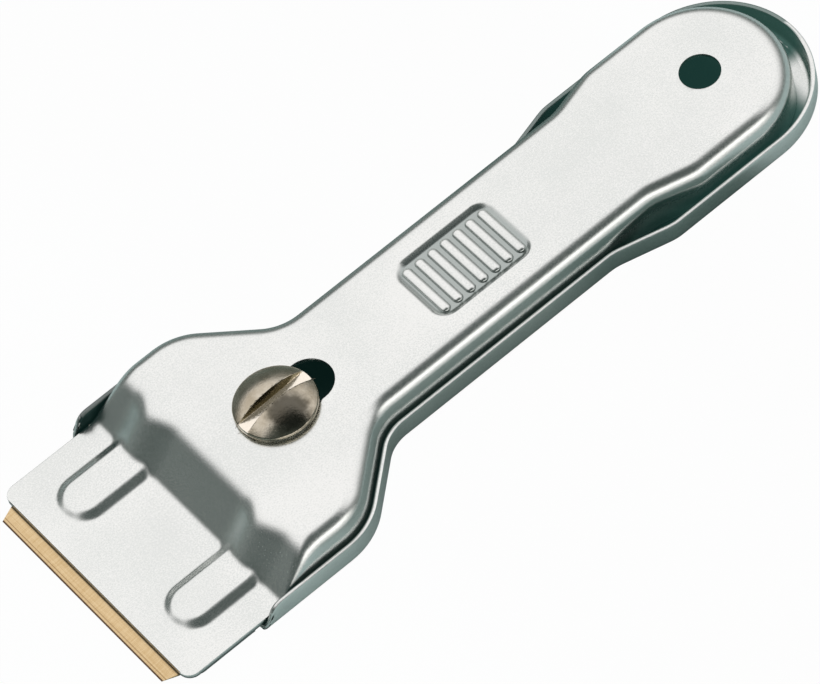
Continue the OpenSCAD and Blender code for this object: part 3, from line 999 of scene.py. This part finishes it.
def makeWorld():
    world = bpy.data.worlds.new("studioRoom")
    bpy.context.scene.world = world
    t = Tree(world)
    w = studio
    direction = t.add("ShaderNodeTexCoord", None, None, out=0)
    x, y, z = t.parts(direction)
    rear = t.smooth(x, *w["rear_x"])
    low, high = (edge + rear * more for edge, more in zip(w["box_z"], w["rear_z"]))
    box = t.smooth(y + rear * w["rear_wider"], *w["box_y"]) * t.smooth(x, *w["box_x"])
    box = box * t.smooth(z, low, high)
    front = t.smooth(y, *w["front_y"]) * t.smooth(z, *w["front_z"]) * t.smooth(z, *w["front_top"])
    level = t.mixColour(t.smooth(z, *w["side_z"]), w["dark"], w["side"])
    level = t.mixColour(box, level, w["box"])
    level = t.mixColour(front, level, t.mixColour(t.smooth(z, *w["low_z"]), w["low"], w["front"]))
    camera = t.add("ShaderNodeLightPath", None, None, out=0)
    level = t.mixColour(camera, level, (1, 1, 1, 1))
    glow = t.add("ShaderNodeBackground", None, {0: level, 1: 1.0})
    t.add("ShaderNodeOutputWorld", None, {0: glow})


# Pale floor, white to the camera. Its grey, which the walls mirror, is deeper beside the grip.
floorLook = {
    "size": 3.0,
    "drop": 0.0002,
    "pale": rgb(196, 216, 215),
    "grip": rgb(142, 159, 156),
    "grip_x": (-0.09, -0.06),
    "flare": rgb(112, 134, 130),
    "flare_x": (-0.035, -0.018),
    "rear_x": (0.008, -0.002),
    "far": rgb(134, 149, 146),
    "far_y": (0.06, 0.14),
    "white": 0.98,
}


def makeFloor():
    size, drop = floorLook["size"], floorLook["drop"]
    mesh = bpy.data.meshes.new("floor")
    corners = [(-size, -size), (size, -size), (size, size), (-size, size)]
    mesh.from_pydata([(x, y, -drop) for x, y in corners], [], [(0, 1, 2, 3)])
    floor = bpy.data.objects.new("floor", mesh)
    bpy.context.scene.collection.objects.link(floor)
    mat = bpy.data.materials.new("paleFloor")
    t = Tree(mat)
    x, y = t.parts(t.add("ShaderNodeTexCoord", None, None, out=3))[:2]
    rear = t.smooth(x, *floorLook["rear_x"])
    grey = t.mixColour(t.smooth(x, *floorLook["grip_x"]) * rear, floorLook["pale"], floorLook["grip"])
    grey = t.mixColour(t.smooth(x, *floorLook["flare_x"]) * rear, grey, floorLook["flare"])
    grey = t.mixColour(t.smooth(y, *floorLook["far_y"]), grey, floorLook["far"])
    lit = t.add("ShaderNodeBsdfDiffuse", None, {0: grey})
    white = t.add("ShaderNodeEmission", None, {0: (1, 1, 1, 1), 1: 1.0})
    pale = t.add("ShaderNodeMixShader", None, {0: floorLook["white"], 1: lit, 2: white})
    camera = t.add("ShaderNodeLightPath", None, None, out=0)
    both = t.add("ShaderNodeMixShader", None, {0: camera, 1: lit, 2: pale})
    t.add("ShaderNodeOutputMaterial", None, {0: both})
    mesh.materials.append(mat)


# Camera solved from the photograph's straight edges and circles
shot = {
    "azimuth": -24.69,
    "elevation": 54.51,
    "roll": -17.9,
    "distance": 0.84552,
    "focal": 5895.19,   # in pixels, for a picture as wide as "wide"
    "wide": 820,
    "sensor": 36.0,
    "aim": (-51.05, 0.32, 0.0),
}


def makeCamera():
    az, el, roll = (radians(shot[k]) for k in ("azimuth", "elevation", "roll"))
    back = Vector((sin(az) * cos(el), -cos(az) * cos(el), sin(el)))
    level = Vector((cos(az), sin(az), 0))
    up = back.cross(level)
    right = level * cos(roll) + up * sin(roll)
    upright = up * cos(roll) - level * sin(roll)
    data = bpy.data.cameras.new("camera")
    data.sensor_width, data.sensor_fit = shot["sensor"], "HORIZONTAL"
    data.lens = shot["focal"] * shot["sensor"] / shot["wide"]
    data.clip_start, data.clip_end = 0.01, 50
    camera = bpy.data.objects.new("camera", data)
    camera.matrix_world = Matrix((right, upright, back)).transposed().to_4x4()
    camera.location = Vector(shot["aim"]) * mm + back * shot["distance"]
    bpy.context.scene.collection.objects.link(camera)
    bpy.context.scene.camera = camera


makeWorld()
makeFloor()
makeCamera()
bpy.context.scene.view_settings.view_transform = "Standard"
print("studio ready")
